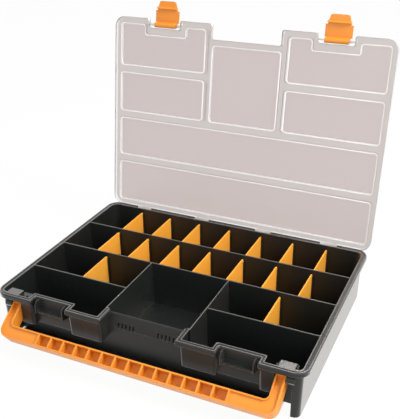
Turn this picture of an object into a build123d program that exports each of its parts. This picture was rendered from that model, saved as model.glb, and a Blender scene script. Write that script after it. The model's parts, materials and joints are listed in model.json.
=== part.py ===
from build123d import *
from math import radians, tan
import os

# Parts organiser with a deep compartment tray, a clear lid that opens on a rear hinge,
# two snap latches, a folding carrying handle and lift-out dividers.
# Sizes are millimetres, and a drop or a rise is measured from the top of the rim.
# While the pieces are drawn, x runs to the right from the middle,
# y runs back from the front face of the rim and z runs up from the table.
# The finished pieces are moved so that the origin is under the middle of the rim.

# Rim of the tray
rim_width = 430.0
rim_depth = 304.3
rim_height = 69.1
rim_corner_radius = 18.0
rim_band = 6.0
rim_plate = 1.8
rim_lip_height = 6.5
rim_lip_thickness = 1.8
rim_edge_chamfer = 0.7
rim_step = 1.0
rim_bead = 1.3
rim_groove_depth = 0.8
rim_small_corner = 2.0
rim_overhang = 3.0

# Walls of the tray
wall = 1.8
floor_thickness = 1.8
side_draft = 1.1
foot_inset = 7.3
body_front_radius = 8.0
body_rear_radius = 12.0
wall_top_round = 0.7

# Front of the tray, plan sizes measured back from the rim face
sill_inset = 3.8
block_front = 5.0
block_corner = 4.5
block_draft = 2.0
block_gap = 0.9
latch_recess_width = 51.8
latch_recess_depth = 12.5
cheek_width = 19.5
cheek_front = 4.0
handle_slot_width = 20.8
post_width = 18.0
post_front = 6.0
recess_wall = 27.4
recess_roof = 29.0
slot_upper_depth = 16.0
slot_step_drop = 13.1
slot_roof_drop = 7.6
tab_length = 19.1

# Middle sill with two combs of grooves
sill_drop = 4.1
sill_lean = 5.4
sill_break_drop = 23.1
sill_step = 1.2
comb_grooves = 5
comb_pitch = 5.4
comb_centre = 28.5
groove_width = 2.6
groove_height = 7.5
groove_depth = 4.0
gusset_size = 12.0

# Compartments
row_pitch = 71.6
front_row_wall = 79.0
middle_half_width = 58.8
cells_in_a_row = 8

# Dividers and the rib pairs that guide them
divider_thickness = 1.8
divider_drop = 5.7
divider_gap = 0.4
divider_corner = 3.0
divider_edge_round = 0.5
guide_rib = 1.2
guide_depth = 2.2
guide_drop = 9.1

# Hinge at the back
hinge_inset = 2.3
hinge_drop = 4.4
hinge_rod_radius = 2.0
hinge_bore_gap = 0.08
hinge_cell_lines = (-3, -1, 1, 3)
hinge_notch_width = 26.0
hinge_cheek = 2.2
hinge_cheek_drop = 9.1
knuckle_radius = 4.0
knuckle_length = 22.0
knuckle_stop_gap = 0.3
knuckle_stop_height = 5.0
lid_open_angle = 98.4

# Lid, drawn closed
lid_gap = 0.4
lid_side_inset = 0.25
lid_front = 0.85
lid_rear_inset = 3.3
lid_wall = 1.8
lid_skirt_height = 6.9
lid_panel_rise = 3.5
lid_corner_radius = 16.0
lid_notch_corner = 3.0
lid_notch_inset = 1.5
lid_sill_notch = 23.0
lid_latch_notch = 14.2
lid_edge_round = 2.2
panel_inset = 9.5
panel_band = 13.6
panel_front = 11.5
panel_rear_inset = 9.0
panel_corner = 3.5
panel_edge_round = 1.2
panel_latch_front = 26.5
panel_latch_half_width = 35.0
middle_panel_front = 33.0

# Latches, drawn closed
latch_pivot_y = 9.5
latch_pivot_rise = 3.9
latch_barrel_radius = 3.75
latch_pin_radius = 2.0
latch_pin_gap = 0.08
latch_pin_grip = 6.0
latch_barrel_length = 33.6
latch_width = 38.4
latch_face = 1.2
latch_plate = 2.2
latch_shoulder = 4.0
latch_plate_end = 21.0
latch_plate_corner = 0.8
latch_tip = 34.5
latch_tip_root_half_width = 16.5
latch_tip_half_width = 13.0
latch_tip_corner = 4.0
hook_depth = 3.6
hook_drop = 24.0
hook_height = 2.4
ear_gap = 0.65
ear_thickness = 1.5
ear_front = 2.0
ear_bottom_drop = 22.1
ear_top_drop = 2.1
ledge_front = 4.2
ledge_drop = 18.6
ledge_height = 2.5

# Handle, drawn hanging straight down
handle_pivot_y = 8.0
handle_pivot_drop = 16.1
handle_side_space = 7.0
handle_arm = 13.0
handle_reach = 47.5
handle_bar = 17.5
handle_front = 3.7
handle_depth = 18.9
handle_end_radius = 7.0
handle_neck_rise = 2.5
handle_shoulder = 5.5
handle_outer_corner = 13.0
handle_inner_corner = 6.0
handle_wall = 2.2
handle_pocket_depth = 12.0
handle_ribs = 15
handle_rib_pitch = 18.8
handle_rib = 2.4
handle_recess = 2.5
handle_arm_channel = 7.0
handle_edge_round = 0.8
handle_boss_radius = 5.5
handle_pin_radius = 3.0
handle_pin_gap = 0.08
handle_side_gap = 0.6
handle_pin_reach = 1.6
handle_end_gap = 0.3
handle_photo_angle = 55.5

# Places worked out from the sizes above
half_rim = rim_width / 2
foot_half_width = half_rim - foot_inset
body_rear = rim_depth - foot_inset
rear_inner = body_rear - wall
body_top = rim_height - rim_plate / 2
bay_floor = recess_roof + wall
slot_step_height = rim_height - slot_step_drop
slot_roof_height = rim_height - slot_roof_drop
sill_top = rim_height - sill_drop
sill_break_height = rim_height - sill_break_drop
divider_top = rim_height - divider_drop
guide_top = rim_height - guide_drop
hinge_z = rim_height - hinge_drop
hinge_cheek_bottom = rim_height - hinge_cheek_drop
ear_bottom = rim_height - ear_bottom_drop
ear_top = rim_height - ear_top_drop
ledge_bottom = rim_height - ledge_drop
latch_pivot_z = rim_height + latch_pivot_rise
handle_pivot_z = rim_height - handle_pivot_drop
sill_half_width = middle_half_width - sill_inset
slot_outer = half_rim - post_width
slot_inner = slot_outer - handle_slot_width
latch_recess_outer = slot_inner - cheek_width
latch_recess_inner = latch_recess_outer - latch_recess_width
latch_centre = (latch_recess_inner + latch_recess_outer) / 2
tab_start = slot_outer + wall - tab_length
handle_half_width = slot_outer - handle_side_space
row_walls = [front_row_wall + row_pitch * row for row in range(3)]
cell_pitch = 2 * (foot_half_width - wall) / cells_in_a_row
cell_lines = [cell_pitch * (cell - cells_in_a_row / 2) for cell in range(1, cells_in_a_row)]
third_row_divider_x = (middle_half_width + foot_half_width - wall / 2) / 2
hinge_y = rim_depth - hinge_inset
hinge_stations = [cell_pitch * line for line in hinge_cell_lines]
lid_bottom = rim_height + lid_gap
lid_band_top = lid_bottom + lid_skirt_height
lid_top = lid_band_top + lid_panel_rise
lid_rear = rim_depth - lid_rear_inset
lid_notch_half_width = sill_half_width - lid_notch_inset
panel_half_width = half_rim - panel_inset


def outer_half_width(height):
    """Half the body's width at a height, wider towards the rim by the draft."""
    return foot_half_width + height * tan(radians(side_draft))


def outline(corners):
    """Plan face on corners given as x, y and corner radius."""
    face = make_face(Polyline(*[(x, y) for x, y, radius in corners], close=True))
    for size in sorted({radius for x, y, radius in corners if radius > 0}):
        chosen = ShapeList()
        for x, y, radius in corners:
            if radius == size:
                chosen.append(face.vertices().sort_by_distance((x, y, 0))[0])
        face = fillet(chosen, size)
    return face


def slab(face, bottom, top):
    """Plan face raised from one height to another."""
    return extrude(Pos(0, 0, bottom) * face, top - bottom, dir=(0, 0, 1))


def block(x_range, y_range, z_range):
    """Box between two corners."""
    size = [high - low for low, high in (x_range, y_range, z_range)]
    corner = Align.MIN
    return Pos(x_range[0], y_range[0], z_range[0]) * Box(*size, align=(corner, corner, corner))


def side_slab(points, x_low, x_high):
    """Profile of y and z points, carried across from one x to another."""
    face = make_face(Polyline(*[(x_low, y, z) for y, z in points], close=True))
    return extrude(face, x_high - x_low, dir=(1, 0, 0))


def rod(radius, x_low, x_high, y, z):
    """Round bar along x."""
    return Pos((x_low + x_high) / 2, y, z) * Rot(0, 90, 0) * Cylinder(radius, x_high - x_low)


def both_sides(shape):
    """The shape with its mirror image on the left."""
    return [shape, mirror(shape, about=Plane.YZ)]


def symmetric(right_corners):
    """Outline corners of the right half, followed by their mirror images."""
    return right_corners + [(-x, y, radius) for x, y, radius in reversed(right_corners)]


def trough(inset, front, rear, bottom, top, front_radius, rear_radius):
    """Body between the drafted side walls, with rounded upright corners."""
    low = outer_half_width(bottom) - inset
    high = outer_half_width(top) - inset
    points = [(-low, front, bottom), (low, front, bottom), (high, front, top), (-high, front, top)]
    shape = extrude(make_face(Polyline(*points, close=True)), rear - front, dir=(0, 1, 0))
    upright = [edge for edge in shape.edges() if edge.bounding_box().size.Z > (top - bottom) / 2]
    middle = (front + rear) / 2
    for radius, behind in ((front_radius, False), (rear_radius, True)):
        if radius > 0:
            chosen = [edge for edge in upright if (edge.center().Y > middle) == behind]
            shape = fillet(ShapeList(chosen), radius)
            upright = [edge for edge in shape.edges() if edge.bounding_box().size.Z > (top - bottom) / 2]
    return shape


def rim_outline(inset):
    """Outer line of the rim, moved inwards."""
    far = rear_inner
    side = half_rim - inset
    small = rim_small_corner
    round_corner = rim_corner_radius - inset
    notch = latch_recess_depth - wall / 4 + inset
    return outline(symmetric([
        (sill_half_width - rim_overhang + inset, far / 2, 0),
        (sill_half_width - rim_overhang + inset, inset, small),
        (latch_recess_inner - inset, inset, small),
        (latch_recess_inner - inset, notch, small),
        (latch_recess_outer + inset, notch, small),
        (latch_recess_outer + inset, inset, small),
        (side, inset, round_corner),
        (side, rim_depth - inset, round_corner),
    ]))


def rim_opening(growth):
    """Line of the rim's inner edge, moved outwards."""
    side = outer_half_width(rim_height) - wall + growth
    front = rim_band - growth
    notch = latch_recess_depth + rim_band - growth
    small = rim_small_corner
    return outline(symmetric([
        (middle_half_width - growth, recess_wall + wall - growth, 0),
        (middle_half_width - growth, front, small),
        (latch_recess_inner - rim_band + growth, front, small),
        (latch_recess_inner - rim_band + growth, notch, small),
        (latch_recess_outer + rim_band - growth, notch, small),
        (latch_recess_outer + rim_band - growth, front, small),
        (side, front, body_front_radius),
        (side, rear_inner + growth, body_rear_radius - wall),
    ]))


def front_block(x_range, y_range, z_range, corners, draft):
    """Hanging block with rounded front corners, smaller towards its foot by the draft."""
    (left, right), (front, rear), (low, high) = x_range, y_range, z_range
    front_left, front_right = corners
    plan = outline([(left, front, front_left), (right, front, front_right),
                    (right, rear, 0), (left, rear, 0)])
    return extrude(Pos(0, 0, high) * plan, high - low, dir=(0, 0, -1), taper=draft)


def block_and_cheek(shrink, rear, low, high):
    """The block between sill and latch recess, and the cheek between latch recess and handle slot."""
    corner = block_corner - shrink
    block_sides = (sill_half_width + shrink, latch_recess_inner - block_gap - shrink)
    cheek_sides = (latch_recess_outer + block_gap + shrink, slot_inner - shrink)
    return [
        front_block(block_sides, (block_front + shrink, rear), (low, high), (corner, corner), block_draft),
        front_block(cheek_sides, (cheek_front + shrink, rear), (low, high), (corner, 0), 0),
    ]


def body_solid():
    """Outside of the tray under the rim, with its front blocks and recesses."""
    body = trough(0, post_front, body_rear, 0, body_top, body_front_radius, body_rear_radius)
    body -= block((-slot_outer, slot_outer), (-wall, recess_wall), (-wall, recess_roof))
    body -= block((-slot_inner, slot_inner), (-wall, recess_wall), (-wall, rim_height + wall))
    for shape in block_and_cheek(0, recess_wall + wall, recess_roof, body_top):
        body += both_sides(shape)
    behind_latch = (latch_recess_inner - 2 * wall, latch_recess_outer + 2 * wall)
    depth = (latch_recess_depth, recess_wall + wall)
    body += both_sides(block(behind_latch, depth, (recess_roof, body_top)))
    slot = (slot_inner, slot_outer)
    body -= both_sides(block(slot, (-wall, recess_wall), (0, slot_step_height)))
    body -= both_sides(block(slot, (-wall, slot_upper_depth), (0, slot_roof_height)))
    under_tab = (tab_start + wall, slot_outer)
    body -= both_sides(block(under_tab, (-wall, slot_upper_depth), (0, rim_height - rim_plate)))
    return body


def rim_ring():
    """Flange round the top with a stepped edge, a hanging lip, an open underside and a shallow groove."""
    bottom = rim_height - rim_lip_height
    shoulder = rim_height - rim_step
    ring = slab(rim_outline(0), bottom, shoulder)
    ring = chamfer(ring.edges().group_by(Axis.Z)[-1], rim_edge_chamfer)
    ring += slab(rim_outline(rim_step), shoulder - rim_step / 2, rim_height)
    hollow = slab(rim_outline(rim_lip_thickness), bottom - wall, rim_height - rim_plate)
    groove_floor = rim_height - rim_groove_depth
    groove = slab(rim_outline(rim_step + rim_bead), groove_floor, rim_height + wall)
    groove -= slab(rim_opening(rim_bead), groove_floor - wall, rim_height + 2 * wall)
    return ring - hollow - groove


def cavities():
    """Space inside the tray, with the shallower bays over the front recesses."""
    top = rim_height - rim_plate
    above = rim_height + wall
    main_front = recess_wall + wall
    space = trough(wall, post_front + wall, rear_inner, floor_thickness, above,
                   body_front_radius - wall, body_rear_radius - wall)
    space -= block((-slot_outer - wall, slot_outer + wall), (0, main_front), (0, above + wall))
    cheek_end = slot_inner - wall
    behind_latch = (latch_recess_inner - 3 * wall, latch_recess_outer + 3 * wall)
    through_wall = (recess_wall - wall, main_front)
    over_slot = (slot_upper_depth + wall, main_front)
    bays = [
        ((middle_half_width + wall / 2, latch_recess_inner), through_wall, (bay_floor, top)),
        (behind_latch, (latch_recess_depth + wall, main_front), (bay_floor, top)),
        ((latch_recess_outer + wall, cheek_end), through_wall, (bay_floor, top)),
        ((cheek_end, slot_outer + wall), over_slot, (slot_step_height + wall, above)),
        ((cheek_end - wall, tab_start), (rim_band, main_front), (slot_roof_height + wall, above)),
    ]
    shapes = [block(*ranges) for ranges in bays]
    shapes += block_and_cheek(wall, recess_wall, bay_floor, top)
    for shape in shapes:
        space += both_sides(shape)
    bay_openings = slab(rim_opening(0), top - wall / 2, above)
    return space + (bay_openings & block((-cheek_end, cheek_end), (0, main_front + wall), (0, above + wall)))


def sill():
    """Middle of the front wall: an upright wall with a leaning, overhanging upper half."""
    face = recess_wall
    brow = recess_wall - sill_lean
    low = sill_break_height - sill_step
    outside = [(face, 0), (face, low), (brow, sill_break_height), (face - wall / 2, sill_top - wall / 2)]
    crest = [(face, sill_top), (face + wall / 2, sill_top)]
    inside = [(face + wall, sill_top - wall / 2), (brow + wall, sill_break_height + wall),
              (face + wall, low + wall), (face + wall, 0)]
    reach = sill_half_width + 3 * wall / 4
    shape = side_slab(outside + crest + inside, -reach, reach)
    back = face + wall
    groove_top = sill_break_height + groove_height
    half_comb = comb_grooves * comb_pitch / 2
    for middle in (-comb_centre, comb_centre):
        backing = (middle - half_comb, middle + half_comb)
        shape += block(backing, (brow + wall, back), (low, groove_top + wall))
        for groove in range(comb_grooves):
            x = middle + (groove - (comb_grooves - 1) / 2) * comb_pitch
            x_range = (x - groove_width / 2, x + groove_width / 2)
            shape -= block(x_range, (brow - wall, brow + groove_depth), (low - wall, groove_top))
    gusset = side_slab([(back - wall / 2, floor_thickness / 2), (back + gusset_size, floor_thickness / 2),
                        (back - wall / 2, low)], -wall / 2, wall / 2)
    return shape + gusset


def row_wall_profile(height, bottom):
    """Upright wall section with a rounded top, as y and z of a face in the plane of x = 0."""
    half = wall / 2
    points = [(0, -half, bottom), (0, half, bottom), (0, half, height), (0, -half, height)]
    face = make_face(Polyline(*points, close=True))
    crown = face.vertices().group_by(Axis.Z)[-1]
    return fillet(crown, wall_top_round)


def compartment_walls():
    """Cross walls of the rows and the two walls beside the middle compartment."""
    low = floor_thickness / 2
    section = row_wall_profile(rim_height, low)
    side = outer_half_width(rim_height / 2) - wall / 2
    front, middle, rear = row_walls
    shapes = []
    for y in (middle, rear):
        shapes.append(extrude(Pos(-side, y, 0) * section, 2 * side, dir=(1, 0, 0)))
    short = side - middle_half_width
    shapes += both_sides(extrude(Pos(middle_half_width, front, 0) * section, short, dir=(1, 0, 0)))
    run = middle - recess_wall
    lengthwise = Pos(middle_half_width, recess_wall, 0) * Rot(0, 0, 90) * section
    shapes += both_sides(extrude(lengthwise, run, dir=(0, 1, 0)))
    return shapes


def divider_places():
    """Name, x, and the y of the two faces that hold each divider."""
    front, middle, rear = row_walls
    half = wall / 2
    places = []
    for number, x in enumerate(cell_lines, start=1):
        places.append((f"rear_row_divider_{number}", x, rear + half, rear_inner))
    for number, x in enumerate(cell_lines, start=1):
        places.append((f"second_row_divider_{number}", x, middle + half, rear - half))
    for side, x in (("left", -third_row_divider_x), ("right", third_row_divider_x)):
        places.append((f"third_row_divider_{side}", x, front + half, middle - half))
    return places


def guide_ribs():
    """Pairs of upright ribs on the row walls that a divider's edges slide between."""
    offset = divider_thickness / 2 + divider_gap
    z_range = (floor_thickness / 2, guide_top)
    ribs = []
    for name, x, front, rear in divider_places():
        for low, high in ((front - wall / 4, front + guide_depth), (rear - guide_depth, rear + wall / 4)):
            ribs.append(block((x - offset - guide_rib, x - offset), (low, high), z_range))
            ribs.append(block((x + offset, x + offset + guide_rib), (low, high), z_range))
    return ribs


def latch_catch():
    """Two thin ears with the catch ledge between them, in a latch recess."""
    back = latch_recess_depth + wall / 2
    reach = latch_width / 2 + ear_gap
    depth = back - ear_front
    ear = side_slab([(ear_front, ear_bottom + depth / 3), (back, ear_bottom), (back, ear_top),
                     (ear_front + depth / 3, ear_top), (ear_front, ear_top - depth / 3)],
                    reach, reach + ear_thickness)
    ears = [Pos(latch_centre, 0, 0) * shape for shape in both_sides(ear)]
    ledge = block((latch_centre - reach - wall / 4, latch_centre + reach + wall / 4), (ledge_front, back),
                  (ledge_bottom, ledge_bottom + ledge_height))
    return ears + [ledge]


def hinge_rods():
    """Short rods between cheeks, in notches of the rear rim."""
    shapes = []
    half = hinge_notch_width / 2
    rear_face = rim_depth
    for x in hinge_stations:
        for side in (-1, 1):
            inner = x + side * half
            outer = inner + side * hinge_cheek
            x_range = (min(inner, outer), max(inner, outer))
            shapes.append(block(x_range, (body_rear - wall / 2, rear_face), (hinge_cheek_bottom, body_top)))
        reach = half + hinge_cheek / 2
        shapes.append(rod(hinge_rod_radius, x - reach, x + reach, hinge_y, hinge_z))
    return shapes


def handle_bearings():
    """Round bosses on the slot walls and the blind bores in them that the handle's pins turn in."""
    boss_start = handle_half_width + handle_side_gap
    bore_end = slot_outer + handle_pin_reach + handle_end_gap
    bore_radius = handle_pin_radius + handle_pin_gap
    boss = rod(handle_boss_radius, boss_start, bore_end + wall, handle_pivot_y, handle_pivot_z)
    bore = rod(bore_radius, boss_start - wall, bore_end, handle_pivot_y, handle_pivot_z)
    return both_sides(boss), both_sides(bore)


def tray():
    """The whole tray: shell, rim, compartment walls, guide ribs, catches and hinge rods."""
    shape = body_solid() + rim_ring()
    shape -= cavities()
    tab = block((tab_start, slot_outer + wall), (rim_band - wall, slot_upper_depth + wall),
                (slot_roof_height, rim_height))
    tab -= block((tab_start + wall, slot_outer), (0, slot_upper_depth), (0, rim_height - rim_plate))
    shape += both_sides(tab)
    above_sill = (sill_top / 2, rim_height + wall)
    shape -= block((-sill_half_width, sill_half_width), (recess_wall, recess_wall + wall), above_sill)
    shape += sill()
    shape += compartment_walls()
    shape += guide_ribs()
    for catch in latch_catch():
        shape += both_sides(catch)
    for x in hinge_stations:
        half = hinge_notch_width / 2
        shape -= block((x - half, x + half), (body_rear, rim_depth + wall), (0, rim_height + wall))
    shape += hinge_rods()
    bosses, bores = handle_bearings()
    return shape + bosses - bores


def lid_outline(inset):
    """Outer line of the lid, moved inwards."""
    side = half_rim - lid_side_inset - inset
    front = lid_front + inset
    small = lid_notch_corner
    notch = lid_latch_notch + inset
    return outline(symmetric([
        (lid_notch_half_width + inset, lid_sill_notch + inset, small),
        (lid_notch_half_width + inset, front, small),
        (latch_recess_inner - inset, front, small),
        (latch_recess_inner - inset, notch, small),
        (latch_recess_outer + inset, notch, small),
        (latch_recess_outer + inset, front, small),
        (side, front, lid_corner_radius - inset),
        (side, lid_rear - inset, lid_corner_radius - inset),
    ]))


def panel_outlines(growth):
    """Plan faces of the lid's raised panels, grown outwards."""
    half_band = panel_band / 2
    front, middle, rear = row_walls
    corner = panel_corner
    right = panel_half_width + growth

    def rectangle(x_low, x_high, y_low, y_high):
        return outline([(x_low, y_low, corner), (x_high, y_low, corner),
                        (x_high, y_high, corner), (x_low, y_high, corner)])

    faces = []
    for low, high in ((rear + half_band, lid_rear - panel_rear_inset),
                      (middle + half_band, rear - half_band)):
        faces.append(rectangle(-right, right, low - growth, high + growth))
    inner = middle_half_width + half_band / 2 - growth
    low, high = front + half_band - growth, middle - half_band + growth
    faces += [rectangle(inner, right, low, high), rectangle(-right, -inner, low, high)]
    across = middle_half_width - half_band + growth
    faces.append(rectangle(-across, across, middle_panel_front - growth, high))
    notch_low = latch_centre - panel_latch_half_width - growth
    notch_high = latch_centre + panel_latch_half_width + growth
    top_right = [
        (inner, panel_front - growth, corner),
        (notch_low + 2 * growth, panel_front - growth, corner),
        (notch_low + 2 * growth, panel_latch_front - growth, corner),
        (notch_high - 2 * growth, panel_latch_front - growth, corner),
        (notch_high - 2 * growth, panel_front - growth, corner),
        (right, panel_front - growth, corner),
        (right, front - half_band + growth, corner),
        (inner, front - half_band + growth, corner),
    ]
    faces.append(outline(top_right))
    faces.append(outline([(-x, y, radius) for x, y, radius in top_right]))
    return faces


def knuckle(x):
    """Hinge barrel under the lid's rear edge, with its arm and its stop."""
    half = knuckle_length / 2
    x_range = (x - half, x + half)
    shape = rod(knuckle_radius, *x_range, hinge_y, hinge_z)
    arm_front = hinge_y - knuckle_radius
    shape += block(x_range, (arm_front, lid_rear), (hinge_z, lid_bottom + wall))
    reach = hinge_y - body_rear - knuckle_stop_gap
    stop = block(x_range, (-reach, 0), (-knuckle_stop_height, 0))
    shape += Pos(0, hinge_y, hinge_z) * Rot(lid_open_angle, 0, 0) * stop
    return shape - rod(hinge_rod_radius + hinge_bore_gap, x - half - wall, x + half + wall, hinge_y, hinge_z)


def lid():
    """Clear lid, closed: a shallow dish with raised panels, notches, knuckles and latch pins."""
    shape = slab(lid_outline(0), lid_bottom, lid_band_top)
    shape = fillet(shape.edges().group_by(Axis.Z)[-1], lid_edge_round)
    for face in panel_outlines(lid_wall):
        boss = slab(face, lid_band_top - lid_wall / 2, lid_top)
        shape += fillet(boss.edges().group_by(Axis.Z)[-1], panel_edge_round)
    shape -= slab(lid_outline(lid_wall), lid_bottom - wall, lid_band_top - lid_wall)
    for face in panel_outlines(0):
        shape -= slab(face, lid_band_top - 2 * lid_wall, lid_top - lid_wall)
    for x in hinge_stations:
        shape += knuckle(x)
    barrel_end = latch_barrel_length / 2 - latch_pin_grip
    for side in (-1, 1):
        near = latch_centre + side * barrel_end
        far = latch_centre + side * (latch_recess_width / 2 + lid_wall / 2)
        pin = rod(latch_pin_radius, min(near, far), max(near, far), latch_pivot_y, latch_pivot_z)
        shape += both_sides(pin)
    return shape


def latch():
    """Snap latch, closed, in the middle plane: barrel, web, plate, hook ridge and finger tab."""
    y, z = latch_pivot_y, latch_pivot_z
    inner = latch_face + latch_plate
    shoulder = z - latch_shoulder
    barrel_half = latch_barrel_length / 2
    half = latch_width / 2
    shape = rod(latch_barrel_radius, -barrel_half, barrel_half, y, z)
    web = [(y, z + latch_barrel_radius), (latch_face + latch_plate, z + latch_barrel_radius - wall / 2),
           (latch_face + wall / 3, z + latch_barrel_radius / 3), (latch_face, shoulder),
           (latch_face, shoulder - latch_plate), (inner, shoulder - latch_plate),
           (inner, shoulder - wall / 3), (y - latch_barrel_radius / 2, z - latch_barrel_radius / 2), (y, z)]
    shape += side_slab(web, -barrel_half, barrel_half)
    end = z - latch_plate_end
    tip = z - latch_tip
    shape += block((-half, half), (latch_face, inner), (end, shoulder))
    root = latch_tip_root_half_width
    tab = outline(symmetric([
        (half, end + wall, 0),
        (half, end, latch_plate_corner),
        (root, end, 0),
        (latch_tip_half_width, tip, latch_tip_corner),
    ]))
    shape += extrude(Pos(0, latch_face, 0) * Rot(90, 0, 0) * tab, latch_plate, dir=(0, 1, 0))
    hook_top = z - hook_drop + hook_height / 2
    hook = [(latch_face + wall / 2, hook_top), (inner + hook_depth, hook_top - hook_height / 4),
            (inner + hook_depth, hook_top - hook_height / 2), (inner, hook_top - 1.5 * hook_height),
            (latch_face + wall / 2, hook_top - 1.5 * hook_height)]
    shape += side_slab(hook, -root, root)
    bore = rod(latch_pin_radius + latch_pin_gap, -half - wall, half + wall, y, z)
    return shape - bore


def handle():
    """Folding handle, hanging: a U with a pocketed grip bar, channelled arms and pivot pins."""
    y, z = handle_pivot_y, handle_pivot_z
    half = handle_half_width
    inner = half - handle_arm
    bar_bottom = z - handle_reach
    bar_top = bar_bottom + handle_bar
    top = z + handle_end_radius
    face = y - handle_front
    back = face + handle_depth
    loop = outline(symmetric([
        (inner, bar_top, handle_inner_corner),
        (inner, top, 0),
        (half, top, 0),
        (half, bar_bottom, handle_outer_corner),
    ]))
    shape = extrude(Pos(0, face, 0) * Rot(90, 0, 0) * loop, handle_depth, dir=(0, 1, 0))
    shape = fillet(shape.edges().group_by(Axis.Y)[0], handle_edge_round)
    rear_of_end = y + handle_end_radius
    above = top + wall
    crown = handle_end_radius / 3
    shoulder = z - handle_shoulder
    across = (-half - wall, half + wall)
    shape -= side_slab([(y + crown, above), (y + crown, top), (rear_of_end, z + handle_neck_rise),
                        (back, shoulder), (back + wall, shoulder), (back + wall, above)], *across)
    shape -= side_slab([(face - wall, above), (face - wall, z + crown), (face, z + crown), (y - crown, top),
                        (y - crown, above)], *across)
    first = -handle_rib_pitch * (handle_ribs - 1) / 2
    z_range = (bar_bottom + handle_wall, bar_top - handle_wall)
    for pocket in range(handle_ribs - 1):
        low = first + handle_rib_pitch * pocket + handle_rib / 2
        x_range = (low, low + handle_rib_pitch - handle_rib)
        shape -= block(x_range, (face - wall, face + handle_pocket_depth), z_range)
    end_zone = -first + handle_rib / 2
    channel = (inner + handle_wall, half - handle_wall)
    recess = outline([
        (end_zone, bar_bottom + handle_wall, 0),
        (channel[1], bar_bottom + handle_wall, handle_outer_corner - handle_wall),
        (channel[1], z, 0),
        (channel[0], z, 0),
        (channel[0], bar_top - handle_wall, handle_inner_corner + handle_wall),
        (end_zone, bar_top - handle_wall, 0),
    ])
    depth = wall + handle_recess
    shape -= both_sides(extrude(Pos(0, face - wall, 0) * Rot(90, 0, 0) * recess, depth, dir=(0, 1, 0)))
    ramp = [(face - wall, z), (face + handle_arm_channel, z), (face + handle_recess, bar_top),
            (face - wall, bar_top)]
    shape -= both_sides(side_slab(ramp, *channel))
    core_front = face + handle_recess + handle_wall
    shape -= both_sides(block((end_zone, inner - handle_wall), (core_front, back + wall), z_range))
    shape += both_sides(rod(handle_pin_radius, half - wall, slot_outer + handle_pin_reach, y, z))
    return shape


def divider(x, front, rear):
    """Thin plate with rounded upper corners and a softened top edge."""
    half = divider_thickness / 2
    low = front + divider_gap
    high = rear - divider_gap
    bottom = floor_thickness + divider_gap
    face = outline([(low, bottom, 0), (high, bottom, 0), (high, divider_top, divider_corner),
                    (low, divider_top, divider_corner)])
    upright = Plane(origin=(x - half, 0, 0), x_dir=(0, 1, 0), z_dir=(1, 0, 0)) * face
    plate = extrude(upright, divider_thickness, dir=(1, 0, 0))
    top_edges = [edge for edge in plate.edges() if edge.center().Z > divider_top - divider_edge_round]
    long_edges = [edge for edge in top_edges if edge.length > high - low - 3 * divider_corner]
    return fillet(ShapeList(long_edges), divider_edge_round)


def turned(shape, y, z, angle):
    """The shape turned about an x-wise axis through y and z, opening way round."""
    return Pos(0, y, z) * Rot(-angle, 0, 0) * Pos(0, -y, -z) * shape


def pieces():
    """Every piece in the pose of rest: lid and latches open, handle swung forward."""
    shapes = {"tray": tray(), "lid": turned(lid(), hinge_y, hinge_z, lid_open_angle)}
    for side, x in (("left", -latch_centre), ("right", latch_centre)):
        opened = turned(Pos(x, 0, 0) * latch(), latch_pivot_y, latch_pivot_z, 90)
        shapes[f"latch_{side}"] = turned(opened, hinge_y, hinge_z, lid_open_angle)
    shapes["handle"] = turned(handle(), handle_pivot_y, handle_pivot_z, handle_photo_angle)
    for name, x, front, rear in divider_places():
        shapes[name] = divider(x, front, rear)
    return shapes


os.makedirs("parts", exist_ok=True)
for name, shape in pieces().items():
    export_step(Pos(0, -rim_depth / 2, 0) * shape, f"parts/{name}.step")
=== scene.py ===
# %% [markdown]
# A parts organiser is a deep dark tray full of compartments, under a clear lid that swings back.
# Its solids are already drawn to size, so this lesson gives them their plastics, adds the fine
# moulded detail that the solids leave out, and sets up a plain studio round them.

# %% Load the measured model
import json
import math

import bmesh
import bpy
from mathutils import Matrix, Vector


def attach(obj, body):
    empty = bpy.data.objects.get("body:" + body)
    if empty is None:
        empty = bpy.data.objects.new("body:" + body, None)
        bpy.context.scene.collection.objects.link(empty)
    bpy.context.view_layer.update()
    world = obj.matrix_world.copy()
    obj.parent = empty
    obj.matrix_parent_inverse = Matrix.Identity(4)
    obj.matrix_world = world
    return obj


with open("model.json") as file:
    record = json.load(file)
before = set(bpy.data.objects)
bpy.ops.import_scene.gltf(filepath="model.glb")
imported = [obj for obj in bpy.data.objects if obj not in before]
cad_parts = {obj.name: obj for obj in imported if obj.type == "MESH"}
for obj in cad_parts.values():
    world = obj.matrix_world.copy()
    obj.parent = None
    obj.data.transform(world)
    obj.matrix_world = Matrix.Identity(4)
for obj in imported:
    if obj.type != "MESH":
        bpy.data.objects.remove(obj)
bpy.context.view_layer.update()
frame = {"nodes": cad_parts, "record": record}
MM = 0.001
print("nodes:", sorted(frame["nodes"]))

# %% [markdown]
# The camera stands to the right of the front and looks down into the open tray. A long lens keeps the
# straight edges nearly parallel. The small shift puts the centre of the view a little below the
# middle of the picture and to its right, and the horizontal sensor fit keeps the width of the view.

# %% Camera
CAMERA_PLACE = Vector((366.84, -744.04, 572.39)) * MM
CAMERA_TURN = math.radians(24.56)
CAMERA_TILT = math.radians(28.03)
CAMERA_ROLL = math.radians(-0.51)
SENSOR_WIDTH = 36.0
LENS = 62.91
SHIFT = (-0.0181, 0.0535)

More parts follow.
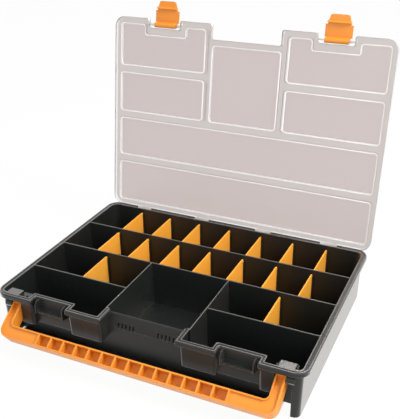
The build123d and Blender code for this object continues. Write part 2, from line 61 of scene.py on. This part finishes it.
camera_data = bpy.data.cameras.new("camera")
camera_data.sensor_fit = "HORIZONTAL"
camera_data.sensor_width = SENSOR_WIDTH
camera_data.lens = LENS
camera_data.shift_x, camera_data.shift_y = SHIFT
camera = bpy.data.objects.new("camera", camera_data)
bpy.context.scene.collection.objects.link(camera)
upright = Matrix.Rotation(CAMERA_TURN, 4, "Z") @ Matrix.Rotation(math.pi / 2 - CAMERA_TILT, 4, "X")
camera.matrix_world = Matrix.Translation(CAMERA_PLACE) @ upright @ Matrix.Rotation(CAMERA_ROLL, 4, "Z")
bpy.context.scene.camera = camera
print("camera distance:", round(CAMERA_PLACE.length, 3), "m")

# %% [markdown]
# A few driving sizes of the case place the finishes and the trim. They are the sizes of the solids,
# so that a polished edge or a bead lies exactly where the moulding has its edge.

# %% Driving sizes of the case
RIM_WIDTH = 430.0
RIM_DEPTH = 304.3
RIM_HEIGHT = 69.1
LID_BAND_TOP = 76.4
LID_PANEL_TOP = 79.9
LID_WALL = 1.8
HINGE_INSET = 2.3
HINGE_DROP = 4.4
LID_OPEN = math.radians(98.4)
LID_HINGE = (0.0, (RIM_DEPTH / 2 - HINGE_INSET) * MM, (RIM_HEIGHT - HINGE_DROP) * MM)
print("lid hinge:", [round(value / MM, 2) for value in LID_HINGE], "mm")

# %% [markdown]
# Every material is a small graph of nodes. One helper adds a node, sets its values and links it, so
# that each material below reads as a list of what its surface is made of. Colours are written as
# the hex values that a colour picker shows, and one function turns them into linear light.

# %% Material helpers


def linear(hex_colour):
    """Linear RGBA from an sRGB hex value such as #2b2e2c."""
    channels = [int(hex_colour[start:start + 2], 16) / 255 for start in (1, 3, 5)]
    return [c / 12.92 if c <= 0.04045 else ((c + 0.055) / 1.055) ** 2.4 for c in channels] + [1.0]


def node(owner, kind, inputs=None, **settings):
    """Add a node: settings are its own values, inputs are socket values or other nodes' outputs."""
    made = owner.node_tree.nodes.new(kind)
    for name, value in settings.items():
        setattr(made, name, value)
    for name, value in (inputs or {}).items():
        if isinstance(value, bpy.types.NodeSocket):
            owner.node_tree.links.new(value, made.inputs[name])
        else:
            made.inputs[name].default_value = value
    return made


def blank_material(name):
    """A material whose graph is empty."""
    material = bpy.data.materials.new(name)
    material.use_nodes = True
    material.node_tree.nodes.clear()
    return material


def dress(thing, material):
    """Give a mesh one material on all its faces."""
    thing.data.materials.clear()
    thing.data.materials.append(material)
    thing.data.polygons.foreach_set("material_index", [0] * len(thing.data.polygons))


print("a mid grey in linear light:", round(linear("#808080")[0], 3))

# %% [markdown]
# Every edge of a moulding is slightly round, because the melt doesn't fill a sharp corner. The bevel
# node bends the shading normals there, which draws a thin pale line along each edge without more
# faces. A fine bump over it stands for the grain of the mould.

# %% Moulded surface
EDGE_ROUND = 0.7 * MM
GRAIN_DETAIL = 3.0
GRAIN_STRENGTH = 0.3


def moulded_normal(material, place, grain_size, depth):
    """Normal of a moulded face: rounded edges, with a grain of one size and depth over them."""
    rounded = node(material, "ShaderNodeBevel", {"Radius": EDGE_ROUND}, samples=4)
    grain = node(material, "ShaderNodeTexNoise", {
        "Vector": place, "Scale": 1 / grain_size, "Detail": GRAIN_DETAIL})
    bump = node(material, "ShaderNodeBump", {
        "Height": grain.outputs["Fac"], "Strength": GRAIN_STRENGTH, "Distance": depth,
        "Normal": rounded.outputs["Normal"]})
    return bump.outputs["Normal"]


print("edges are shaded round at", EDGE_ROUND / MM, "mm")

# %% [markdown]
# The tray is dark grey-green polypropylene. Its mould is spark-eroded, which leaves a fine grain: the
# plastic looks nearly black face on and turns silvery at a glancing view. A mix of a dark body and a
# pale gloss shows this, and the layer weight sets the share of each. The real grain is far finer
# than a pixel, so it is drawn coarser than life. A slow second noise stands for the flow of the
# melt, which changes the gloss a little over a hand's width. The closing lid rubs the crests of the
# rim and of the cross walls smooth, so they are shinier than the rest.

# %% Tray plastic
TRAY_COLOUR = "#0f1412"
TRAY_FLOW_COLOUR = "#0c100e"
TRAY_ROUGHNESS = 0.5
TRAY_SHEEN_COLOUR = "#f4f1ee"
TRAY_GRAIN = 0.9 * MM
TRAY_GRAIN_DEPTH = 0.03 * MM
TRAY_FLOW = 60 * MM
SHEEN_ROUGHNESS = (0.24, 0.32)
SHEEN_POWER = 5.0
SHEEN_SCALE = 3.2
SHEEN_MOST = 0.6
TRAY_TOP = RIM_HEIGHT * MM
CREST_DEPTH = 0.6 * MM
CREST_SHEEN = 0.2


def sheen_share(material, place, normal):
    """Share of the pale gloss, from 0 face on to SHEEN_MOST at a glancing view, and more on the crests."""
    glance = node(material, "ShaderNodeLayerWeight", {"Blend": 0.5, "Normal": normal}).outputs["Facing"]
    steep = node(material, "ShaderNodeMath", {0: glance, 1: SHEEN_POWER}, operation="POWER")
    scaled = node(material, "ShaderNodeMath", {0: steep.outputs[0], 1: SHEEN_SCALE}, operation="MULTIPLY")
    grazing = node(material, "ShaderNodeMath", {0: scaled.outputs[0], 1: SHEEN_MOST}, operation="MINIMUM")
    height = node(material, "ShaderNodeSeparateXYZ", {0: place}).outputs["Z"]
    crest = node(material, "ShaderNodeMapRange", {
        "Value": height, "From Min": TRAY_TOP - CREST_DEPTH, "From Max": TRAY_TOP, "To Max": CREST_SHEEN})
    both = {0: grazing.outputs[0], 1: crest.outputs["Result"]}
    return node(material, "ShaderNodeMath", both, operation="MAXIMUM").outputs[0]


def tray_plastic():
    """Dark grained polypropylene, nearly black face on and pale at a glancing view."""
    material = blank_material("polypropylene_dark_grained")
    place = node(material, "ShaderNodeTexCoord").outputs["Object"]
    flow = node(material, "ShaderNodeTexNoise", {"Vector": place, "Scale": 1 / TRAY_FLOW}).outputs["Fac"]
    tone = node(material, "ShaderNodeMix", {
        "Factor": flow, "A": linear(TRAY_COLOUR), "B": linear(TRAY_FLOW_COLOUR)}, data_type="RGBA")
    smooth, dull = SHEEN_ROUGHNESS
    gloss = node(material, "ShaderNodeMapRange", {"Value": flow, "To Min": smooth, "To Max": dull})
    normal = moulded_normal(material, place, TRAY_GRAIN, TRAY_GRAIN_DEPTH)
    body = node(material, "ShaderNodeBsdfPrincipled", {
        "Base Color": tone.outputs["Result"], "Roughness": TRAY_ROUGHNESS, "Normal": normal})
    sheen = node(material, "ShaderNodeBsdfAnisotropic", {
        "Color": linear(TRAY_SHEEN_COLOUR), "Roughness": gloss.outputs["Result"], "Normal": normal})
    surface = node(material, "ShaderNodeMixShader", {
        0: sheen_share(material, place, normal), 1: body.outputs["BSDF"], 2: sheen.outputs["BSDF"]})
    node(material, "ShaderNodeOutputMaterial", {"Surface": surface.outputs[0]})
    return material


tray_finish = tray_plastic()
print("tray finish:", tray_finish.name, "with", len(tray_finish.node_tree.nodes), "nodes")

# %% [markdown]
# The lid is clear polypropylene, which is never quite clear: it is milky, and the flat faces of its
# raised panels are frosted. Where a face turns on edge, round the panels and along the rim, light
# runs out of the sheet, so there the lid's colour is painted white, a painted glow. The upright
# direction of the closed lid tells the flat faces from the edges, and the height in that direction
# tells the panels from the bands, so the material turns the coordinates of the open lid back to the
# closed one. The frost is drawn coarser than life.

# %% Lid plastic
LID_PANEL_COLOUR = "#d3c7c5"
LID_BAND_COLOUR = "#d4ccc8"
# Painted glow: the lid's edges are coloured white in place of the light that runs out of the sheet.
LID_EDGE_PAINTED_GLOW = "#ffffff"
LID_ROUGHNESS = 0.28
LID_CLEARNESS = 0.95
LID_FLAT = 0.9
LID_ON_EDGE = 0.5
PLASTIC_IOR = 1.49
LID_FROST = 0.8 * MM
LID_FROST_DEPTH = 0.03 * MM
FROST_STRENGTH = 0.2
PANEL_LEVEL = (LID_BAND_TOP + LID_PANEL_TOP - LID_WALL) / 2 * MM


def frosted_normal(material, place, depth):
    """Normal of a frosted face: a fine bump of one depth."""
    frost = node(material, "ShaderNodeTexNoise", {
        "Vector": place, "Scale": 1 / LID_FROST, "Detail": GRAIN_DETAIL})
    bump = node(material, "ShaderNodeBump", {
        "Height": frost.outputs["Fac"], "Strength": FROST_STRENGTH, "Distance": depth})
    return bump.outputs["Normal"]


def lid_tone(material, source):
    """Lid colour: one tone for the panels, one for the bands, painted white glow on the edges."""
    closed_place = node(material, "ShaderNodeVectorRotate", {
        "Vector": source.outputs["Object"], "Center": LID_HINGE, "Angle": LID_OPEN}, rotation_type="X_AXIS")
    closed_normal = node(material, "ShaderNodeVectorRotate", {
        "Vector": source.outputs["Normal"], "Angle": LID_OPEN}, rotation_type="X_AXIS")
    height = node(material, "ShaderNodeSeparateXYZ", {0: closed_place.outputs[0]}).outputs["Z"]
    lean = node(material, "ShaderNodeSeparateXYZ", {0: closed_normal.outputs[0]}).outputs["Z"]
    panel = node(material, "ShaderNodeMath", {0: height, 1: PANEL_LEVEL}, operation="GREATER_THAN")
    flat = node(material, "ShaderNodeMath", {0: lean}, operation="ABSOLUTE")
    edge_glow_mask = node(material, "ShaderNodeMapRange", {
        "Value": flat.outputs[0], "From Min": LID_FLAT, "From Max": LID_ON_EDGE})
    faces = node(material, "ShaderNodeMix", {
        "Factor": panel.outputs[0], "A": linear(LID_BAND_COLOUR), "B": linear(LID_PANEL_COLOUR)},
        data_type="RGBA")
    # Painted glow: faces on edge are mixed to white, standing in for light leaving the sheet.
    tone = node(material, "ShaderNodeMix", {
        "Factor": edge_glow_mask.outputs["Result"], "A": faces.outputs["Result"], "B": linear(LID_EDGE_PAINTED_GLOW)},
        data_type="RGBA")
    return tone.outputs["Result"]


def lid_plastic():
    """Clear polypropylene with milky bands, frosted panels and edges painted white as a glow."""
    material = blank_material("polypropylene_clear_frosted")
    source = node(material, "ShaderNodeTexCoord")
    plastic = node(material, "ShaderNodeBsdfPrincipled", {
        "Base Color": lid_tone(material, source), "Roughness": LID_ROUGHNESS, "IOR": PLASTIC_IOR,
        "Transmission Weight": LID_CLEARNESS,
        "Normal": frosted_normal(material, source.outputs["Object"], LID_FROST_DEPTH)})
    node(material, "ShaderNodeOutputMaterial", {"Surface": plastic.outputs["BSDF"]})
    return material


lid_finish = lid_plastic()
print("lid finish:", lid_finish.name, "with", len(lid_finish.node_tree.nodes), "nodes")

# %% [markdown]
# Handle, latches and dividers are the same orange polypropylene, moulded with a satin face. It lets
# a little light in, which keeps its shaded sides warm and its thin edges pale. The dividers are thin
# plates, and light that falls on one side comes out on the other, so they get a share of translucent
# shading as well. Their orange is also painted paler and yellower than the thick handle's, as painted
# light that stands in for the light reaching them. The grain is again drawn coarser than life.

# %% Orange plastic
ORANGE = "#df8d2c"
ORANGE_DEEP = "#da8425"
# Painted light: the thin plates' orange is paler and yellower, standing in for more light on the dividers.
THIN_ORANGE_PAINTED_LIGHT = "#ffb744"
THIN_ORANGE_DEEP_PAINTED_LIGHT = "#ffb13c"
THIN_GLOW = 0.15
ORANGE_ROUGHNESS = 0.36
ORANGE_GRAIN = 1.0 * MM
ORANGE_GRAIN_DEPTH = 0.02 * MM
ORANGE_FLOW = 40 * MM
ORANGE_LIGHT_SHARE = 0.1
ORANGE_LIGHT_DEPTH = (3 * MM, 1.5 * MM, 0.6 * MM)


def orange_plastic(name, colour, deep, glow_through):
    """Satin orange plastic; glow_through is the share of light that passes through a thin plate."""
    material = blank_material(name)
    place = node(material, "ShaderNodeTexCoord").outputs["Object"]
    flow = node(material, "ShaderNodeTexNoise", {"Vector": place, "Scale": 1 / ORANGE_FLOW}).outputs["Fac"]
    tone = node(material, "ShaderNodeMix", {
        "Factor": flow, "A": linear(colour), "B": linear(deep)}, data_type="RGBA").outputs["Result"]
    plastic = node(material, "ShaderNodeBsdfPrincipled", {
        "Base Color": tone, "Roughness": ORANGE_ROUGHNESS, "IOR": PLASTIC_IOR,
        "Subsurface Weight": ORANGE_LIGHT_SHARE, "Subsurface Radius": ORANGE_LIGHT_DEPTH,
        "Subsurface Scale": 1.0,
        "Normal": moulded_normal(material, place, ORANGE_GRAIN, ORANGE_GRAIN_DEPTH)})
    through = node(material, "ShaderNodeBsdfTranslucent", {"Color": tone})
    surface = node(material, "ShaderNodeMixShader", {
        0: glow_through, 1: plastic.outputs["BSDF"], 2: through.outputs["BSDF"]})
    node(material, "ShaderNodeOutputMaterial", {"Surface": surface.outputs[0]})
    return material


solid_orange = orange_plastic("polypropylene_orange_satin", ORANGE, ORANGE_DEEP, 0.0)
thin_orange_painted_light = orange_plastic("polypropylene_orange_thin_plate_painted_lighter", THIN_ORANGE_PAINTED_LIGHT, THIN_ORANGE_DEEP_PAINTED_LIGHT, THIN_GLOW)
print("orange finishes:", solid_orange.name, "and", thin_orange_painted_light.name)

# %% [markdown]
# The record of the case says which plastic each solid is moulded from, so each one gets its finish
# by its material slot. Only the dividers are picked by name, because they are the thin plates, and
# they get the copy of the orange that is painted paler.

# %% Dress the measured pieces
finishes = {"tray_plastic": tray_finish, "lid_plastic": lid_finish, "orange_plastic": solid_orange}
slot_of = {part["node"]: part["material_slot"] for part in frame["record"]["subparts"]}
for name, piece in frame["nodes"].items():
    dress(piece, thin_orange_painted_light if "divider" in name else finishes[slot_of[name]])
print("dressed", len(frame["nodes"]), "pieces in", len(finishes) + 1, "finishes")

# %% [markdown]
# Round the mouth of each raised panel the real lid has a small bead that stiffens the sheet. The
# light that runs inside the clear plastic leaves it there, and the beads are painted white for it, so
# every panel is framed by a painted white line. The bead could be a bump in the lid's material, but a
# bump gives no outline, so it is a narrow frame of its own. First come the outlines of the seven
# panels, in the plan of the closed lid and measured back from the front of the rim.

# %% Panel outlines
FIRST_WALL = 79.0
ROW_PITCH = 71.6
PANEL_SIDE_INSET = 9.5
PANEL_BAND = 13.6
PANEL_FRONT = 11.5
PANEL_REAR = 292.0
MIDDLE_HALF_WIDTH = 58.8
MIDDLE_PANEL_FRONT = 33.0
LATCH_CENTRE = 130.8
LATCH_NOTCH_HALF_WIDTH = 35.0
LATCH_NOTCH_FRONT = 26.5

front_wall, middle_wall, rear_wall = (FIRST_WALL + ROW_PITCH * row for row in range(3))
half_band = PANEL_BAND / 2


def rectangle(x_low, x_high, y_low, y_high):
    """Corner points of a panel, in order."""
    return [(x_low, y_low), (x_high, y_low), (x_high, y_high), (x_low, y_high)]


def panel_mouths():
    """Corner points of the mouth of every raised panel, in the plan of the closed lid."""
    right = RIM_WIDTH / 2 - PANEL_SIDE_INSET
    inner = MIDDLE_HALF_WIDTH + half_band
    across = MIDDLE_HALF_WIDTH - half_band
    notch_low = LATCH_CENTRE - LATCH_NOTCH_HALF_WIDTH
    notch_high = LATCH_CENTRE + LATCH_NOTCH_HALF_WIDTH
    latch_panel = [
        (inner, PANEL_FRONT), (notch_low, PANEL_FRONT), (notch_low, LATCH_NOTCH_FRONT),
        (notch_high, LATCH_NOTCH_FRONT), (notch_high, PANEL_FRONT), (right, PANEL_FRONT),
        (right, front_wall - half_band), (inner, front_wall - half_band)]
    side_panel = rectangle(inner, right, front_wall + half_band, middle_wall - half_band)
    mouths = [
        rectangle(-right, right, rear_wall + half_band, PANEL_REAR),
        rectangle(-right, right, middle_wall + half_band, rear_wall - half_band),
        rectangle(-across, across, MIDDLE_PANEL_FRONT, middle_wall - half_band)]
    for outline in (latch_panel, side_panel):
        mouths += [outline, [(-x, y) for x, y in outline]]
    return mouths


print("panels:", len(panel_mouths()))

# %% [markdown]
# Each bead starts as the flat outline of its panel. The outline's corners are rounded, it is inset
# outwards to a ring, and the ring is extruded down from the lid and its shoulders rounded. All the
# outlines are level on the closed lid, so the beads are made there and swung up with the lid.

# %% Bead shape
PANEL_CORNER = 3.5
PANEL_MOUTH = LID_BAND_TOP - LID_WALL
BEAD_WIDTH = 1.8
BEAD_HEIGHT = 0.9
BEAD_ROUND = 0.3
SHOULDER_ANGLE = math.radians(60)
CORNER_SEGMENTS = 4
SHOULDER_SEGMENTS = 2


def bead(outline):
    """Ring outside one outline, hanging below the inner face of the closed lid, as a bmesh."""
    ring = bmesh.new()
    corners = [ring.verts.new((x * MM, (y - RIM_DEPTH / 2) * MM, PANEL_MOUTH * MM)) for x, y in outline]
    ring.faces.new(corners)
    bmesh.ops.bevel(ring, geom=corners, offset=PANEL_CORNER * MM, segments=CORNER_SEGMENTS, profile=0.5,
                    material=-1, affect="VERTICES")
    ring.normal_update()
    mouth = ring.faces[:]
    bmesh.ops.inset_region(ring, faces=mouth, thickness=-BEAD_WIDTH * MM, use_even_offset=True,
                           use_boundary=True)
    bmesh.ops.delete(ring, geom=mouth, context="FACES_ONLY")
    raised = bmesh.ops.extrude_face_region(ring, geom=ring.faces[:])["geom"]
    crest = [item for item in raised if isinstance(item, bmesh.types.BMVert)]
    bmesh.ops.translate(ring, verts=crest, vec=(0, 0, -BEAD_HEIGHT * MM))
    bmesh.ops.recalc_face_normals(ring, faces=ring.faces[:])
    shoulders = [edge for edge in ring.edges
                 if set(edge.verts) <= set(crest) and edge.calc_face_angle(0) > SHOULDER_ANGLE]
    bmesh.ops.bevel(ring, geom=shoulders, offset=BEAD_ROUND * MM, segments=SHOULDER_SEGMENTS, profile=0.5,
                    material=-1, affect="EDGES")
    return ring


def opened():
    """The move that takes the closed lid to its open place."""
    hinge = Matrix.Translation(LID_HINGE)
    return hinge @ Matrix.Rotation(-LID_OPEN, 4, "X") @ hinge.inverted()


bead_mesh = bpy.data.meshes.new("lid_panel_beads")
beads = bmesh.new()
for outline in panel_mouths():
    ring = bead(outline)
    ring.to_mesh(bead_mesh)
    ring.free()
    beads.from_mesh(bead_mesh)
bmesh.ops.transform(beads, matrix=opened(), verts=beads.verts[:])
beads.to_mesh(bead_mesh)
beads.free()
panel_beads = bpy.data.objects.new("lid_panel_beads", bead_mesh)
bpy.context.scene.collection.objects.link(panel_beads)
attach(panel_beads, "lid")
print("beads:", len(bead_mesh.polygons), "faces")

# %% [markdown]
# The beads are the same clear plastic as the lid, but all that the eye gets from them is the light
# that leaves them. So their colour is painted milky white, a painted glow, and they also let light
# through from the far side.

# %% Bead finish
# Painted glow: the beads are coloured near white in place of the light that leaves the clear plastic.
BEAD_PAINTED_GLOW_COLOUR = "#fffdfb"
BEAD_ROUGHNESS = 0.3
BEAD_FROST_DEPTH = 0.02 * MM
BEAD_GLOW = 0.3


def bead_painted_glow():
    """Painted milky white that stands in for the light leaving a clear edge."""
    material = blank_material("polypropylene_clear_painted_glow_edge")
    place = node(material, "ShaderNodeTexCoord").outputs["Object"]
    milk = node(material, "ShaderNodeBsdfPrincipled", {
        "Base Color": linear(BEAD_PAINTED_GLOW_COLOUR), "Roughness": BEAD_ROUGHNESS, "IOR": PLASTIC_IOR,
        "Normal": frosted_normal(material, place, BEAD_FROST_DEPTH)})
    through = node(material, "ShaderNodeBsdfTranslucent", {"Color": linear(BEAD_PAINTED_GLOW_COLOUR)})
    surface = node(material, "ShaderNodeMixShader", {
        0: BEAD_GLOW, 1: milk.outputs["BSDF"], 2: through.outputs["BSDF"]})
    node(material, "ShaderNodeOutputMaterial", {"Surface": surface.outputs[0]})
    return material


dress(panel_beads, bead_painted_glow())
print("bead finish:", panel_beads.active_material.name)

# %% [markdown]
# The case stands on a white floor. Light Path tells which rays ask for the background: rays from the
# camera, from reflections and through the clear lid see the floor and the sky plain white, while the
# light that falls on the case stays at its own level.

# %% Floor
FLOOR_HALF = 4.0


def seen_directly(owner):
    """1 for rays from the camera, from reflections and through the clear lid, otherwise 0."""
    path = node(owner, "ShaderNodeLightPath")
    first = node(owner, "ShaderNodeMath", {
        0: path.outputs["Is Camera Ray"], 1: path.outputs["Is Glossy Ray"]}, operation="MAXIMUM")
    either = {0: first.outputs[0], 1: path.outputs["Is Transmission Ray"]}
    return node(owner, "ShaderNodeMath", either, operation="MAXIMUM").outputs[0]


floor_mesh = bpy.data.meshes.new("floor")
shape = bmesh.new()
bmesh.ops.create_grid(shape, x_segments=1, y_segments=1, size=FLOOR_HALF)
shape.to_mesh(floor_mesh)
shape.free()
floor = bpy.data.objects.new("floor", floor_mesh)
bpy.context.scene.collection.objects.link(floor)
print("floor:", 2 * FLOOR_HALF, "m wide")

# %% [markdown]
# The floor is white paper, and most of what is seen of it is an even glow, so that only a trace of
# the case's shadow stays. The front of the tray overhangs its foot by a finger's width, and the
# handle closes the gap before it, so the strip of floor at the foot of the front wall gets hardly any
# light: there the glow fades out and the paper is painted dark, a painted contact shadow.

# %% Floor finish
FLOOR_COLOUR = "#e4e4e4"
FLOOR_GLOW_SHARE = 0.95
# Painted shadow: the dark paper colour of the strip at the foot of the front wall.
PAINTED_SHADOW_COLOUR = "#202020"
SHADOW_MIDDLE = (-7 * MM, -129 * MM)
SHADOW_HALF = (191 * MM, 15 * MM)
SHADOW_FADE = 5 * MM

floor_finish = blank_material("studio_floor")
floor_place = node(floor_finish, "ShaderNodeTexCoord").outputs["Object"]
spot = node(floor_finish, "ShaderNodeSeparateXYZ", {0: floor_place})


def outside(axis, middle, half):
    """0 within half of the middle along one axis of the floor, fading to 1 at its ends."""
    offset = node(floor_finish, "ShaderNodeMath", {0: spot.outputs[axis], 1: middle}, operation="SUBTRACT")
    distance = node(floor_finish, "ShaderNodeMath", {0: offset.outputs[0]}, operation="ABSOLUTE")
    return node(floor_finish, "ShaderNodeMapRange", {
        "Value": distance.outputs[0], "From Min": half - SHADOW_FADE, "From Max": half}).outputs["Result"]


beside, before = (outside(*sides) for sides in zip("XY", SHADOW_MIDDLE, SHADOW_HALF))
lit = node(floor_finish, "ShaderNodeMath", {0: beside, 1: before}, operation="MAXIMUM").outputs[0]
tone = node(floor_finish, "ShaderNodeMix", {
    "Factor": lit, "A": linear(PAINTED_SHADOW_COLOUR), "B": linear(FLOOR_COLOUR)}, data_type="RGBA")
paper = node(floor_finish, "ShaderNodeBsdfDiffuse", {"Color": tone.outputs["Result"]})
glow = node(floor_finish, "ShaderNodeEmission", {"Color": linear("#ffffff"), "Strength": 1.0})
seen = node(floor_finish, "ShaderNodeMath", {
    0: seen_directly(floor_finish), 1: FLOOR_GLOW_SHARE}, operation="MULTIPLY")
share = node(floor_finish, "ShaderNodeMath", {0: seen.outputs[0], 1: lit}, operation="MULTIPLY")
surface = node(floor_finish, "ShaderNodeMixShader", {
    0: share.outputs[0], 1: paper.outputs["BSDF"], 2: glow.outputs[0]})
node(floor_finish, "ShaderNodeOutputMaterial", {"Surface": surface.outputs[0]})
dress(floor, floor_finish)
print("contact shadow:", [round(2 * half / MM) for half in SHADOW_HALF], "mm")

# %% [markdown]
# The light is a plain sky with one large softbox high on the right, and two weak ones in front and
# behind, which lift the front walls and draw thin lights along the wall tops. One strong lamp alone
# would leave the compartments black, and many would wash out the sheen of the walls. The standard
# view keeps the colours as they are written.

# %% Sky and lamps
SKY_LIGHT = 0.8
SOFTBOXES = {
    "key_softbox": {"place": (1.2, 0.0, 1.3), "aim": (0, 0, 0), "size": 0.8, "watts": 32},
    "front_softbox": {"place": (0.2, -1.6, 0.9), "aim": (0, 0, 0.1), "size": 0.8, "watts": 5},
    "back_softbox": {"place": (0.0, 1.2, 1.05), "aim": (0.1, 0, 0.05), "size": 0.5, "watts": 3}}

sky = bpy.data.worlds.new("sky")
sky.use_nodes = True
sky.node_tree.nodes.clear()
level = node(sky, "ShaderNodeMapRange", {"Value": seen_directly(sky), "To Min": SKY_LIGHT, "To Max": 1.0})
air = node(sky, "ShaderNodeBackground", {"Color": linear("#ffffff"), "Strength": level.outputs["Result"]})
node(sky, "ShaderNodeOutputWorld", {"Surface": air.outputs[0]})
bpy.context.scene.world = sky


def softbox(name, place, aim, size, watts):
    """A square area lamp at a place, turned towards a point."""
    lamp = bpy.data.lights.new(name, "AREA")
    lamp.size = size
    lamp.energy = watts
    holder = bpy.data.objects.new(name, lamp)
    facing = (Vector(aim) - Vector(place)).to_track_quat("-Z", "Y").to_matrix().to_4x4()
    holder.matrix_world = Matrix.Translation(place) @ facing
    bpy.context.scene.collection.objects.link(holder)


for name, setting in SOFTBOXES.items():
    softbox(name, **setting)
bpy.context.scene.view_settings.view_transform = "Standard"
print("lamps:", {name: setting["watts"] for name, setting in SOFTBOXES.items()}, "watts")
